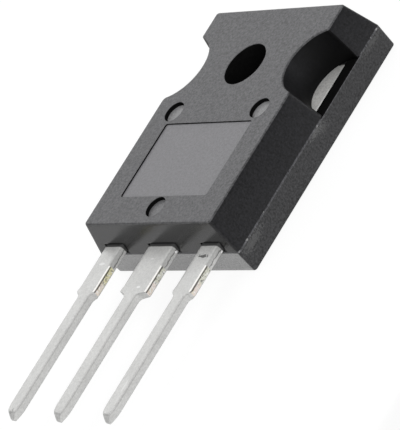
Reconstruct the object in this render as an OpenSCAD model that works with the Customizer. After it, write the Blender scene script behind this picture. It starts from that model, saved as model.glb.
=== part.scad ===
// Power transistor in a three-lead through-hole package with a screw hole, in millimetres.
// X runs across the leads, +Y runs to the end with the screw hole, +Z leaves the marking face.
// The origin is the centre of the screw hole on the bare metal back, so the part lies on its back.

/* [Moulded body] */
// Width of the body at the parting line
body_w = 15.8; // [15.2:0.1:18]
// From the screw hole to the top end of the body at the parting line
body_top = 5.65; // [5.2:0.05:7]
// From the screw hole to the lead end of the body at the parting line
body_bottom = 14.85; // [14.5:0.05:17]
// Thickness from the metal back to the marking face
body_t = 4.95; // [4.6:0.05:6]
// Lean of the two long sides above the parting line, in degrees
side_draft = 15; // [3:1:18]
// Lean of the top end above the parting line, in degrees
top_draft = 10; // [2:1:15]
// Lean of the lead end above the parting line, in degrees
lead_end_draft = 8; // [2:1:10]
// Lean of the long sides below the parting line, in degrees
back_draft = 3; // [0.5:0.5:5]
// Lean of the two ends below the parting line, in degrees
back_end_draft = 1; // [0.5:0.5:3]

/* [Side notches] */
// Diameter of a notch where it meets the metal
notch_d = 5.1; // [4.5:0.1:5.5]
// How far a notch's centre lies inside the parting line
notch_inset = 0.1; // [0:0.05:0.4]
// Opening of a notch towards the marking face, in degrees
notch_draft = 7; // [3:1:10]

/* [Screw hole] */
// Diameter of the screw hole through the moulding
hole_d = 3.7; // [3.4:0.05:4]
// Outer diameter of the moulded ring that lines the hole in the metal
ring_d = 7; // [5.5:0.1:7.4]

/* [Marks in the moulding] */
// Width of the smooth marking panel
panel_w = 9.7; // [7:0.1:11]
// Height of the marking panel along the body
panel_l = 6.65; // [4:0.05:7]
// From the screw hole to the middle of the marking panel
panel_y = 8.65; // [8.5:0.05:9]
// Depth of the marking panel
panel_depth = 0.09; // [0.03:0.01:0.2]
// Diameter of the two ejector pin marks and of the round mould mark
pin_mark_d = 1.75; // [1:0.05:2]
// Depth of the ejector pin marks
pin_mark_depth = 0.32; // [0.05:0.01:0.5]
// From the body's middle line to the middle of an ejector pin mark
pin_mark_x = 4.81; // [4:0.01:5.2]
// From the screw hole to the ejector pin marks
pin_mark_y = 4.2; // [4:0.05:4.3]
// From the screw hole to the round mould mark
mould_mark_y = 12.95; // [12.9:0.05:13.2]
// Depth of the round mould mark
mould_mark_depth = 0.3; // [0.03:0.01:0.5]

/* [Metal heatsink] */
// Width of the metal heatsink
header_w = 13.6; // [12.6:0.1:14.2]
// Thickness of the metal heatsink
header_t = 2.05; // [1.5:0.05:2.1]
// From the screw hole to the top edge of the heatsink
header_top = 4.65; // [4:0.05:4.9]
// From the screw hole to the lower edge of the heatsink
header_bottom = 11.9; // [11.6:0.05:12.2]
// Radius of the heatsink's lower corners
header_corner_r = 0.8; // [0.2:0.1:1.5]

/* [Leads] */
// Distance from one lead to the next
lead_pitch = 5.45; // [5.3:0.05:5.6]
// Thickness of the leads
lead_t = 0.65; // [0.4:0.05:0.8]
// Height of the leads' underside over the metal back
lead_z = 2.3; // [2.2:0.05:2.6]
// Width of the narrow part of a lead
lead_w = 1.2; // [1:0.05:1.4]
// From the moulding to the tip of a lead
lead_len = 15; // [8:0.5:20.3]
// Width of the broad root of an outer lead
outer_root_w = 2; // [1.7:0.05:2.4]
// Width of the broad root of the middle lead
middle_root_w = 2.95; // [2.6:0.05:3.4]
// From the moulding to the end of the broad root
root_len = 4.05; // [3.7:0.05:4.3]
// Radius of the corner where the root meets the narrow part
root_fillet = 0.38; // [0.1:0.01:0.38]
// From the moulding to the place where the tie bar was cut off
tie_start = 1.75; // [1.2:0.05:2]
// How far the cut end of the tie bar stands out of the root
tie_stub = 0.06; // [0.02:0.01:0.15]
// Length of the tapered tip
tip_len = 1.25; // [0.5:0.05:2]
// Width of a lead's end
tip_w = 0.5; // [0.3:0.05:0.9]
// Length of the bevel on the tip's upper face
tip_bevel = 0.5; // [0.2:0.05:1]

/* [Bonding posts inside] */
// Size of an outer lead's post across the body
post_w = 3.4; // [2.6:0.1:3.6]
// Size of a post along the body
post_l = 1.6; // [1.2:0.1:1.9]
// Moulding between a post and the body's end
post_wall = 0.7; // [0.5:0.05:0.8]
// Shift of the posts towards the middle lead
post_shift = 0.25; // [0:0.05:0.3]

/* [Chip and wires inside] */
// Size of the chip across the body
die_w = 7.6; // [6:0.1:9]
// Size of the chip along the body
die_l = 5.8; // [4.5:0.1:6]
// Thickness of the chip
die_t = 0.3; // [0.2:0.05:0.4]
// From the screw hole to the middle of the chip
die_y = 7.9; // [7.8:0.05:8.2]
// Thickness of the solder under the chip
solder_t = 0.1; // [0.05:0.01:0.15]
// How far the solder shows round the chip
solder_rim = 0.15; // [0.05:0.05:0.3]
// Diameter of the four thick wires
thick_wire_d = 0.4; // [0.25:0.05:0.5]
// Diameter of the thin wire
thin_wire_d = 0.15; // [0.1:0.01:0.25]
// Distance between the thick wires
wire_pitch = 0.72; // [0.7:0.01:0.76]
// Rise of the wires over the straight line between their feet
wire_rise = 0.8; // [0.5:0.05:1.1]

/* [Hidden] */
$fn = 64;

// Cutters run past the faces that they cut by this much
over = 1;

// The mould closes on the upper face of the heatsink
parting_z = header_t;
// Heights of the body above and below the parting line
upper_h = body_t - parting_z;
// A mark's floor, the chip's seat, the chip's top and the leads' upper face
solder_z = header_t;
die_z = solder_z + solder_t;
die_top = die_z + die_t;
lead_top = lead_z + lead_t;

// Half widths and end places of the body's three outlines
half_w = body_w / 2;
face_half_w = half_w - upper_h * tan(side_draft);
back_half_w = half_w - parting_z * tan(back_draft);
face_top = body_top - upper_h * tan(top_draft);
back_top = body_top - parting_z * tan(back_end_draft);
face_bottom = body_bottom - upper_h * tan(lead_end_draft);
back_bottom = body_bottom - parting_z * tan(back_end_draft);

// The end face leans, so the leads are measured from the parting line
root_end = body_bottom + root_len;
tie_y = body_bottom + tie_start;
tip_y = body_bottom + lead_len;
taper_y = tip_y - tip_len;

// The posts and the lead roots inside the moulding
post_low = body_bottom - post_wall;
post_high = post_low - post_l;
post_x = lead_pitch - post_shift;

// The middle lead rises from the heatsink's lower edge to the height of the others
joggle_run = (post_low - header_bottom) / 2;
joggle_low = header_bottom + joggle_run;
// The lead's metal is this deep where it leaves the heatsink
neck_low = header_t - lead_t;
neck_in = 0.4;

// Places of the thick wires' feet, from the first wire to the last
wire_count = 4;
thick_foot_l = 2 * thick_wire_d;
thin_foot_l = 2 * thin_wire_d;
foot_spread = 1.3;
wire_die_x = 0.6;
wire_die_y = die_y + die_l / 2 - 1.6;
wire_post_x = post_x - wire_pitch * (wire_count - 1) / 2;
wire_post_y = (post_low + post_high) / 2;
gate_pad_inset = 1;
gate_die_x = -die_w / 2 + gate_pad_inset;
gate_die_y = die_y + die_l / 2 - gate_pad_inset;

// A profile across the body, drawn in X and Z and run along Y
module along_y(low, high) {
    translate([0, high, 0]) rotate([90, 0, 0]) linear_extrude(high - low) children();
}

// A profile along the body, drawn in Y and Z and run along X
module along_x(half) {
    translate([-half, 0, 0]) rotate([90, 0, 90]) linear_extrude(2 * half) children();
}

// The outer form: both mould halves lean in from the parting line
module body_form() {
    intersection() {
        along_y(-body_bottom - over, body_top + over)
            polygon([
                [-back_half_w, 0], [back_half_w, 0], [half_w, parting_z], [face_half_w, body_t],
                [-face_half_w, body_t], [-half_w, parting_z]
            ]);
        along_x(half_w + over)
            polygon([
                [-back_bottom, 0], [back_top, 0], [body_top, parting_z], [face_top, body_t],
                [-face_bottom, body_t], [-body_bottom, parting_z]
            ]);
    }
}

// A notch widens from the metal to the marking face
module notch(side) {
    open_h = upper_h + over;
    translate([side * (half_w - notch_inset), 0, parting_z])
        cylinder(h = open_h, r1 = notch_d / 2, r2 = notch_d / 2 + open_h * tan(notch_draft));
}

module screw_hole() {
    translate([0, 0, -over]) cylinder(h = body_t + 2 * over, d = hole_d);
}

// Shallow marks left by the mould in the marking face
module face_marks() {
    translate([-panel_w / 2, -panel_y - panel_l / 2, body_t - panel_depth])
        cube([panel_w, panel_l, panel_depth + over]);
    for (side = [-1, 1])
        translate([side * pin_mark_x, -pin_mark_y, body_t - pin_mark_depth])
            cylinder(h = pin_mark_depth + over, d = pin_mark_d);
    translate([0, -mould_mark_y, body_t - mould_mark_depth])
        cylinder(h = mould_mark_depth + over, d = pin_mark_d);
}

// The fillet between a lead's root and its narrow part, on the side given
module root_fillet_plan(side) {
    translate([side * lead_w / 2, -root_end])
        difference() {
            translate([side > 0 ? 0 : -root_fillet, -root_fillet]) square(root_fillet);
            translate([side * root_fillet, -root_fillet]) circle(root_fillet);
        }
}

// A lead's outline from above, from inside the body to the tip
module lead_plan(root_w, inner_y) {
    translate([-root_w / 2, -root_end]) square([root_w, root_end - inner_y]);
    translate([-root_w / 2 - tie_stub, -root_end])
        square([root_w + 2 * tie_stub, root_end - tie_y]);
    polygon([
        [-lead_w / 2, -root_end], [-lead_w / 2, -taper_y], [-tip_w / 2, -tip_y],
        [tip_w / 2, -tip_y], [lead_w / 2, -taper_y], [lead_w / 2, -root_end]
    ]);
    for (side = [-1, 1]) root_fillet_plan(side);
}

// A lead's outline from the side, with the bevelled tip
module lead_side(inner_y) {
    polygon([
        [-inner_y, lead_z], [-inner_y, lead_top], [-tip_y + tip_bevel, lead_top],
        [-tip_y, lead_z + lead_t / 3], [-tip_y, lead_z]
    ]);
}

// A flat lead with its stamped outline and its bevelled tip
module flat_lead(root_w, inner_y) {
    intersection() {
        translate([0, 0, lead_z]) linear_extrude(lead_t) lead_plan(root_w, inner_y);
        along_x(root_w) lead_side(inner_y);
    }
}

// An outer lead with the broad post that its wires are bonded to
module outer_lead(side) {
    translate([side * lead_pitch, 0, 0]) flat_lead(outer_root_w, post_high);
    translate([side * post_x - post_w / 2, -post_low, lead_z]) cube([post_w, post_l, lead_t]);
}

// The heatsink's plate, with the hole that the moulded ring fills
module header_plate() {
    flat_h = header_top + header_bottom - header_corner_r;
    difference() {
        linear_extrude(header_t) {
            translate([-header_w / 2, -header_bottom + header_corner_r]) square([header_w, flat_h]);
            translate([-header_w / 2 + header_corner_r, -header_bottom])
                square([header_w - 2 * header_corner_r, header_corner_r]);
            for (side = [-1, 1])
                translate([side * (header_w / 2 - header_corner_r), -header_bottom + header_corner_r])
                    circle(header_corner_r);
        }
        translate([0, 0, -over]) cylinder(h = header_t + 2 * over, d = ring_d);
    }
}

// The neck that lifts the middle lead out of the heatsink
module middle_neck() {
    along_x(middle_root_w / 2)
        polygon([
            [-header_bottom + neck_in, neck_low], [-header_bottom + neck_in, header_t],
            [-header_bottom, header_t], [-joggle_low, lead_top], [-post_low, lead_top],
            [-post_low, lead_z], [-joggle_low, lead_z], [-header_bottom, neck_low]
        ]);
}

module heatsink_and_lead() {
    header_plate();
    middle_neck();
    flat_lead(middle_root_w, post_low);
}

module chip() {
    translate([-die_w / 2, -die_y - die_l / 2, die_z]) cube([die_w, die_l, die_t]);
}

module solder() {
    rim_w = die_w + 2 * solder_rim;
    rim_l = die_l + 2 * solder_rim;
    translate([-rim_w / 2, -die_y - rim_l / 2, solder_z]) cube([rim_w, rim_l, solder_t]);
}

// One wire: a foot on the chip, a foot on the post and a round arc from one to the other
module bond_wire(die_x, die_y0, post_x0, post_y0, wire_d, foot_l) {
    dx = post_x0 - die_x;
    dy = -(post_y0 - die_y0);
    turn = atan2(dy, dx);
    run = norm([dx, dy]);
    climb = lead_top - die_top;
    chord = norm([run, climb]);
    slope = atan2(climb, run);
    arc_r = (chord * chord / 4 + wire_rise * wire_rise) / (2 * wire_rise);
    half_angle = asin(chord / 2 / arc_r);
    translate([die_x, -die_y0, die_top]) rotate([0, 0, turn]) {
        for (foot = [[0, 0], [run, climb]])
            translate([foot[0] - foot_l / 2, -foot_spread * wire_d / 2, foot[1]])
                cube([foot_l, foot_spread * wire_d, wire_d]);
        translate([0, 0, wire_d / 2]) rotate([90, -slope, 0])
            translate([chord / 2, wire_rise - arc_r, 0]) rotate([0, 0, 90 - half_angle])
                rotate_extrude(angle = 2 * half_angle)
                    translate([arc_r, 0]) circle(d = wire_d, $fn = 24);
    }
}

module thick_wire(i) {
    bond_wire(
        wire_die_x + i * wire_pitch, wire_die_y, wire_post_x + i * wire_pitch, wire_post_y,
        thick_wire_d, thick_foot_l
    );
}

module thin_wire() {
    bond_wire(gate_die_x, gate_die_y, -post_x, wire_post_y, thin_wire_d, thin_foot_l);
}

// Everything that the moulding is cast round
module inserts() {
    heatsink_and_lead();
    outer_lead(-1);
    outer_lead(1);
    chip();
    solder();
    thin_wire();
    for (i = [0:wire_count - 1]) thick_wire(i);
}

module moulded_body() {
    color([0.2, 0.2, 0.21]) difference() {
        body_form();
        notch(-1);
        notch(1);
        screw_hole();
        face_marks();
        inserts();
    }
}

module drain_heatsink() {
    color([0.78, 0.77, 0.74]) heatsink_and_lead();
}

module gate_lead() {
    color([0.8, 0.8, 0.79]) outer_lead(-1);
}

module source_lead() {
    color([0.8, 0.8, 0.79]) outer_lead(1);
}

module silicon_die() {
    color([0.35, 0.36, 0.42]) chip();
}

module die_solder() {
    color([0.6, 0.6, 0.6]) solder();
}

module gate_bond_wire() {
    color([0.86, 0.86, 0.87]) thin_wire();
}

module source_bond_wire(i) {
    color([0.86, 0.86, 0.87]) thick_wire(i);
}

moulded_body();
drain_heatsink();
gate_lead();
source_lead();
silicon_die();
die_solder();
gate_bond_wire();
source_bond_wire(0);  // source_bond_wire_1
source_bond_wire(1);  // source_bond_wire_2
source_bond_wire(2);  // source_bond_wire_3
source_bond_wire(3);  // source_bond_wire_4
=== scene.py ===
"""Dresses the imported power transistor: moulding, tin-plated leads, heatsink and the chip inside.

The part lies on its metal back. The origin is the centre of the screw hole on that back, +Z leaves
the marking face, +Y runs to the end with the hole and the leads run along -Y. Shapes are worked out
in millimetres and written into the meshes in metres.
"""

import logging
import math
from dataclasses import astuple, dataclass, field
from enum import IntEnum
from typing import ClassVar

import bpy
import numpy as np
from mathutils import Matrix, Vector
from mathutils.geometry import delaunay_2d_cdt


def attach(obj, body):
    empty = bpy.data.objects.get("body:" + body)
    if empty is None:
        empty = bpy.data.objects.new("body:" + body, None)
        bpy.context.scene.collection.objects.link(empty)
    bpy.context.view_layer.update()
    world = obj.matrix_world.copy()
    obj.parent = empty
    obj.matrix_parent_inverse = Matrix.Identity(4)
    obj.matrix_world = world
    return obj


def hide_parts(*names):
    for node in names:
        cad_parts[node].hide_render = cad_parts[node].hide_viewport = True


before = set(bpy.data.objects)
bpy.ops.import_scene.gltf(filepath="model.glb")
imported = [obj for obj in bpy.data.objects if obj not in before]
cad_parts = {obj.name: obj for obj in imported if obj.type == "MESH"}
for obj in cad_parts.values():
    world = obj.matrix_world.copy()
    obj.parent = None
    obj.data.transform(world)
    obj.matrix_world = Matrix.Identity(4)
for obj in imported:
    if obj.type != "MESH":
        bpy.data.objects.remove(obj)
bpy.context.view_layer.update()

log = logging.getLogger("power_transistor")
Array = np.ndarray
Pair = tuple[float, float]
Triple = tuple[float, float, float]
Socket = bpy.types.NodeSocket
Value = Socket | float | Triple
Number = float | Array

MM = 0.001
BODY = "root"
MERGE_MM = 1e-4
CDT_GAP_MM = 1e-7
PLACE_DECIMALS = 4
SHARP_ANGLE = math.radians(38)
EDGE_POINTS = 4
CORNER_POINTS = 7
RING_POINTS = 96
MIRROR = np.array([-1.0, 1.0])
WHITE = (1.0, 1.0, 1.0, 1.0)
NOISE_RANGE = (0.3, 0.7)

LEAD_LOW, LEAD_HIGH = 2.3, 2.95
LEAD_PITCH = 5.45
OUTER_ROOT, MIDDLE_ROOT = 1.0, 1.475
LEAD_EXITS = ((-LEAD_PITCH, OUTER_ROOT), (0.0, MIDDLE_ROOT), (LEAD_PITCH, OUTER_ROOT))


class Side(IntEnum):
    """The two long sides of the part, seen with the marking face up."""

    LEFT = -1
    RIGHT = 1


class Zone(IntEnum):
    """Regions of the moulding with their own gloss and grain; the walls, recesses, mark floors and lead
    end also carry painted light and shade.
    """

    FACE = 0
    PANEL = 1
    MARK_FLOOR = 2
    EDGE = 3
    SIDE = 4
    NOTCH = 5
    LEAD_END = 6
    LOWER_SIDE = 7
    LOWER_LEAD_END = 8
    FLASH = 9
    RECESS = 10
    MOULD_FLOOR = 11


class Skin(IntEnum):
    """Surfaces of the metal pieces."""

    PLATED = 0
    SHEARED = 1
    PLATE = 2


def slope(degrees: float) -> float:
    """How far a wall with this lean moves in for each millimetre of height."""
    return math.tan(math.radians(degrees))


def arc(x: Number, y: Number, radius: Number, start: Number, end: Number, share: Array) -> Array:
    """Points on an arc: centre plus radius times the direction at an angle that runs with the share.

    Args:
        x: centre along x, one value for each row or a plain number.
        y: centre along y, in the same way.
        radius: radius of each row.
        start: first angle in degrees.
        end: last angle in degrees.
        share: shares of the way from start to end, along the last axis.

    Returns:
        An array (..., 4) of x, y and the outward direction of the circle at each point.
    """
    turn = np.radians(start + (end - start) * share)
    cos, sin = np.cos(turn), np.sin(turn)
    return np.stack(np.broadcast_arrays(x + radius * cos, y + radius * sin, cos, sin), axis=-1)


def edge_round(radius: float) -> Array:
    """A quarter round from a level face down into a wall, as rows of (offset outwards, height).

    The offset falls from radius to nothing while the height falls from nothing to minus radius.
    """
    turn = np.linspace(np.pi / 2, 0, EDGE_POINTS)
    return np.stack([radius * (1 - np.cos(turn)), radius * (np.sin(turn) - 1)], axis=-1)


class Outline:
    """A closed level outline, anticlockwise."""

    def loop(self, out: float = 0.0) -> Array:
        """Its points (n, 2), moved outwards."""
        raise NotImplementedError

    def sweep(self, profile: Array | list[Pair]) -> Array:
        """The surface P(v, u): the outline moved outwards by each offset of a profile, at its height.

        Args:
            profile: an offset and a height for each row.

        Returns:
            The points, (rows, columns, 3).
        """
        return np.stack([np.insert(self.loop(out), 2, height, axis=1) for out, height in profile])


@dataclass(frozen=True)
class Circle(Outline):
    """A circle: centre plus radius times (cos, sin)."""

    x: float
    y: float
    radius: float
    count: int = RING_POINTS

    def loop(self, out: float = 0.0) -> Array:
        """Its points, moved outwards.

        Args:
            out: how far they move.

        Returns:
            The points, (n, 2).
        """
        turn = np.arange(self.count) * 2 * np.pi / self.count
        radius = self.radius + out
        return np.stack([self.x + radius * np.cos(turn), self.y + radius * np.sin(turn)], axis=-1)


@dataclass(frozen=True)
class RoundedBox(Outline):
    """A rounded rectangle from its lower right corner, with points at the stops along its long sides.

    Each corner is a quarter circle and each side a straight run between them.
    """

    half_x: float
    low_y: float
    high_y: float
    low_r: float
    high_r: float
    stops: tuple[float, ...] = ()

    def loop(self, out: float = 0.0) -> Array:
        """Its points, moved outwards.

        Args:
            out: how far they move.

        Returns:
            The points, (n, 2).
        """
        half, low_r, high_r = self.half_x + out, self.low_r + out, self.high_r + out
        share = np.linspace(0, 1, CORNER_POINTS)
        right = np.concatenate([
            arc(half - low_r, self.low_y - out + low_r, low_r, -90, 0, share)[:, :2],
            [(half, stop) for stop in sorted(self.stops)] or np.empty((0, 2)),
            arc(half - high_r, self.high_y + out - high_r, high_r, 0, 90, share)[:, :2],
        ])
        return np.concatenate([right, right[::-1] * MIRROR])


class Shell:
    """Gathers patches of one piece in millimetres and joins them into one mesh."""

    def __init__(self) -> None:
        """Starts with no patches."""
        self.points: list[Array] = []
        self.quads: list[Array] = []
        self.marks: list[Array] = []
        self.count = 0

    def _add(self, points: Array, faces: Array, mark: int | Array) -> None:
        """Stores points and faces, where a triangle repeats its last corner.

        Args:
            points: the points, (n, 3).
            faces: numbers of each face's points, (m, 4).
            mark: one mark for all faces, or one for each.
        """
        self.points.append(points)
        self.quads.append(faces + self.count)
        self.marks.append(np.broadcast_to(np.asarray(mark), (len(faces),)))
        self.count += len(points)

    def grid(self, rows: Array, marks: Array | list[int] | int) -> None:
        """Adds the surface P(u, v) given on a grid, u round each closed row and v from row to row.

        The outside is on the side of (direction along the row) x (direction to the next row).

        Args:
            rows: the points, (rows, columns, 3).
            marks: one mark for all, one for each strip between two rows, or one for each face.
        """
        index = np.arange(rows.shape[0] * rows.shape[1]).reshape(rows.shape[:2])
        after = np.roll(index, -1, axis=1)
        quads = np.stack([index[:-1], after[:-1], after[1:], index[1:]], axis=-1)
        marks = np.asarray(marks)
        marks = np.broadcast_to(marks[:, None] if marks.ndim == 1 else marks, quads.shape[:2])
        self._add(rows.reshape(-1, 3), quads.reshape(-1, 4), marks.reshape(-1))

    def flat(self, loops: list[Array], height: float, up: bool, mark: int) -> None:
        """Fills the level region between closed loops with triangles.

        A constrained triangulation is kept where a ray from the triangle's middle crosses the
        loops an odd number of times.

        Args:
            loops: closed loops, each (n, 2).
            height: height of the region.
            up: whether the region faces up.
            mark: mark of its faces.
        """
        plan = np.concatenate(loops)
        ends = np.concatenate([np.roll(loop, -1, axis=0) for loop in loops])
        starts = np.cumsum([0] + [len(loop) for loop in loops])
        edges = [
            pair
            for first, last in zip(starts[:-1], starts[1:])
            for pair in zip(range(first, last), [*range(first + 1, last), first])
        ]
        found = delaunay_2d_cdt(plan.tolist(), edges, [], 0, CDT_GAP_MM)
        points, faces = plan[[ids[0] for ids in found[3]]], np.array(found[2])
        middle = points[faces].mean(axis=1)[:, None]
        over = (plan[None, :, 1] > middle[..., 1]) != (ends[None, :, 1] > middle[..., 1])
        rise = np.where(ends[:, 1] == plan[:, 1], 1.0, ends[:, 1] - plan[:, 1])
        cross = plan[:, 0] + (middle[..., 1] - plan[:, 1]) / rise * (ends[:, 0] - plan[:, 0])
        faces = faces[(over & (cross > middle[..., 0])).sum(axis=1) % 2 == 1]
        a, b, c = points[faces[:, 0]], points[faces[:, 1]], points[faces[:, 2]]
        area = (b[:, 0] - a[:, 0]) * (c[:, 1] - a[:, 1]) - (b[:, 1] - a[:, 1]) * (c[:, 0] - a[:, 0])
        faces = np.where((area > 0)[:, None] == up, faces, faces[:, ::-1])
        self._add(np.insert(points, 2, height, axis=1), np.column_stack([faces, faces[:, 2]]), mark)

    def cap(self, ring: Array, outward: bool, mark: int) -> None:
        """Closes a ring with a fan from its middle.

        Args:
            ring: its points, (n, 3).
            outward: whether the outside is the side that sees the ring run anticlockwise.
            mark: mark of its faces.
        """
        count = len(ring)
        here = np.arange(count)
        fan = np.stack([here, np.roll(here, -1), np.full(count, count), np.full(count, count)], axis=-1)
        points = np.concatenate([ring, ring.mean(axis=0, keepdims=True)])
        self._add(points, fan if outward else fan[:, [1, 0, 2, 3]], mark)

    def solid(self, name: str, materials: dict[IntEnum, bpy.types.Material]) -> bpy.types.Object:
        """Joins the patches where their points meet and makes the object.

        Each kind of mark becomes a mask on the faces, named after it.

        Args:
            name: the piece's name.
            materials: its main material first, and then those of the marks that have their own.

        Returns:
            The object, at the origin, unturned and unscaled.
        """
        points, quads, marks = (np.concatenate(part) for part in (self.points, self.quads, self.marks))
        keys = np.round(points / MERGE_MM).astype(np.int64)
        _, first, back = np.unique(keys, axis=0, return_index=True, return_inverse=True)
        quads = back.reshape(-1)[quads]
        same = quads == np.roll(quads, -1, axis=1)
        kept = same.sum(axis=1) < 2
        quads, marks, same = quads[kept], marks[kept], same[kept]
        triangle = same.any(axis=1)
        cut = quads[triangle][~same[triangle]].reshape(-1, 3)
        marks = np.concatenate([marks[~triangle], marks[triangle]])
        mesh = bpy.data.meshes.new(name)
        mesh.from_pydata((points[first] * MM).tolist(), [], quads[~triangle].tolist() + cut.tolist())
        index = np.zeros(len(marks), np.int32)
        for place, (mark, material) in enumerate(materials.items()):
            mesh.materials.append(material)
            index[marks == mark] = place
        mesh.polygons.foreach_set("material_index", index)
        for mark in type(next(iter(materials))):
            layer = mesh.attributes.new("zone_" + mark.name.lower(), "FLOAT", "FACE")
            layer.data.foreach_set("value", (marks == mark).astype(np.float32))
        mesh.polygons.foreach_set("use_smooth", np.ones(len(marks), bool))
        mesh.set_sharp_from_angle(angle=SHARP_ANGLE)
        mesh.update()
        piece = bpy.data.objects.new(name, mesh)
        bpy.context.scene.collection.objects.link(piece)
        return piece


def finish_piece(piece: bpy.types.Object, node: str) -> None:
    """Makes a piece stand for its solid and ride with the part.

    Args:
        piece: the piece of the scene.
        node: name of the solid's node.
    """
    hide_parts(node)
    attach(piece, BODY)
    log.info("%s: %d points, %d faces", piece.name, len(piece.data.vertices), len(piece.data.polygons))


def grey(tone: float) -> Triple:
    """A colour with no hue."""
    return (tone, tone, tone)


def rgba(colour: Value) -> Socket | tuple[float, ...]:
    """A colour as a node's input takes it: a socket as it is, a plain colour with full alpha."""
    return colour if isinstance(colour, Socket) else (*colour, 1.0)


@dataclass(frozen=True)
class Noise:
    """Cloudy noise from nothing to one: its features to the millimetre, its octaves and their weight."""

    scale: Value
    detail: float = 3.0
    rough: float = 0.6


@dataclass(frozen=True)
class Grain:
    """The grain of a finish: scales of its two noises, how far each sways the tone, and its relief."""

    fine_scale: float
    cloud_scale: float
    fine: float
    clouds: float
    bump: float
    relief_mm: float


class Tree:
    """Wires the nodes of a material, a group or the world."""

    def __init__(self, tree: bpy.types.NodeTree) -> None:
        """Starts on a tree with no nodes."""
        self.tree = tree
        tree.nodes.clear()

    def fill(self, socket: Socket, value: Value) -> None:
        """Links a socket to an input, or sets the input to a plain value.

        Args:
            socket: the input.
            value: the socket or the plain value.
        """
        if isinstance(value, Socket):
            self.tree.links.new(value, socket)
        else:
            socket.default_value = value

    def node(self, kind: str, inputs: dict | None = None, **settings: object) -> bpy.types.Node:
        """Adds a node.

        Args:
            kind: the node's type.
            inputs: a value or a socket for each input, by name or number.
            settings: the node's own properties.

        Returns:
            The node.
        """
        made = self.tree.nodes.new(kind)
        for name, value in settings.items():
            setattr(made, name, value)
        for key, value in (inputs or {}).items():
            self.fill(made.inputs[key], value)
        return made

    def math(self, operation: str, *values: Value) -> Socket:
        """The result of one sum on values or sockets."""
        return self.node("ShaderNodeMath", dict(enumerate(values)), operation=operation).outputs[0]

    def add(self, first: Value, second: Value) -> Socket:
        """The first value plus the second."""
        return self.math("ADD", first, second)

    def less(self, first: Value, second: Value) -> Socket:
        """The first value less the second."""
        return self.math("SUBTRACT", first, second)

    def times(self, first: Value, second: Value) -> Socket:
        """The first value times the second."""
        return self.math("MULTIPLY", first, second)

    def vector(self, operation: str, *values: Value) -> Socket:
        """The result of one sum on vectors."""
        made = self.node("ShaderNodeVectorMath", dict(enumerate(values)), operation=operation)
        return made.outputs["Value" if operation == "LENGTH" else "Vector"]

    def mix(self, share: Value, first: Value, second: Value, blend: str = "MIX") -> Socket:
        """A colour between first and second, by share."""
        inputs = {0: share, 6: rgba(first), 7: rgba(second)}
        return self.node("ShaderNodeMix", inputs, data_type="RGBA", blend_type=blend).outputs[2]

    def ramp(self, value: Value, low: float, high: float, to_low: float, to_high: float) -> Socket:
        """The value carried from one range to another, held at the ends."""
        inputs = dict(enumerate((value, low, high, to_low, to_high)))
        return self.node("ShaderNodeMapRange", inputs, clamp=True).outputs[0]

    def above(self, value: Value, low: float, fade: float) -> Socket:
        """Nothing below a level and one above it, fading in over a stretch that starts there."""
        return self.ramp(value, low, low + fade, 0.0, 1.0)

    def below(self, value: Value, high: float, fade: float) -> Socket:
        """One below a level and nothing above it, fading out over a stretch that starts there."""
        return self.ramp(value, high, high + fade, 1.0, 0.0)

    def spread(self, noise: Socket, reach: float) -> Socket:
        """A noise's middle range carried to minus and plus a reach."""
        return self.ramp(noise, *NOISE_RANGE, -reach, reach)

    def noise(self, vector: Socket, noise: Noise) -> Socket:
        """A noise at a place.

        Args:
            vector: the place.
            noise: the noise.

        Returns:
            Its value there.
        """
        return self.node("ShaderNodeTexNoise", {
            "Vector": vector, "Scale": noise.scale, "Detail": noise.detail, "Roughness": noise.rough,
        }).outputs[0]


class Group(Tree):
    """A shader node group: a vector and numbers come in, and numbers go out."""

    def __init__(self, name: str, inputs: tuple[str, ...], outputs: tuple[str, ...]) -> None:
        """Starts a group.

        Args:
            name: name of the group.
            inputs: names of the numbers that come in.
            outputs: names of the numbers that go out.
        """
        super().__init__(bpy.data.node_groups.new(name, "ShaderNodeTree"))
        sockets = self.tree.interface
        sockets.new_socket("Vector", in_out="INPUT", socket_type="NodeSocketVector")
        for way, names in (("INPUT", inputs), ("OUTPUT", outputs)):
            for key in names:
                sockets.new_socket(key, in_out=way, socket_type="NodeSocketFloat")
        self.enter = self.node("NodeGroupInput").outputs
        self.leave = self.node("NodeGroupOutput").inputs

    def close(self, **outputs: Socket) -> bpy.types.NodeTree:
        """Sends the numbers out.

        Args:
            outputs: the socket that each number comes from, by its name.

        Returns:
            The finished group.
        """
        for key, value in outputs.items():
            self.fill(self.leave[key], value)
        return self.tree


class Effects:
    """The shader groups that more than one finish uses, each built once."""

    SQUEEZE: ClassVar[Triple] = (1.0, 0.06, 1.0)

    def __init__(self) -> None:
        """Builds the groups."""
        self.grain = self._grain()
        self.drawn = self._drawn()

    def _grain(self) -> bpy.types.NodeTree:
        """Fine grain with slow clouds: one noise for the grain and one for the clouds.

        Returns:
            The group.
        """
        t = Group(
            "fine_grain", ("Grain Scale", "Cloud Scale", "Grain", "Clouds"), ("Tone", "Height", "Cloud"),
        )
        fine = t.noise(t.enter["Vector"], Noise(t.enter["Grain Scale"], 4.0, 0.65))
        cloud = t.noise(t.enter["Vector"], Noise(t.enter["Cloud Scale"], rough=0.5))
        speckle = t.times(t.spread(fine, 1.0), t.enter["Grain"])
        drift = t.times(t.spread(cloud, 1.0), t.enter["Clouds"])
        return t.close(Tone=t.add(t.add(speckle, drift), 1.0), Height=fine, Cloud=cloud)

    def _drawn(self) -> bpy.types.NodeTree:
        """Long fine lines along y, as rolled and stamped strip has: noise squeezed along the strip.

        Returns:
            The group.
        """
        t = Group("drawn_lines", ("Scale",), ("Lines",))
        squeezed = t.vector("MULTIPLY", t.enter["Vector"], self.SQUEEZE)
        return t.close(Lines=t.noise(squeezed, Noise(t.enter["Scale"])))


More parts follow.
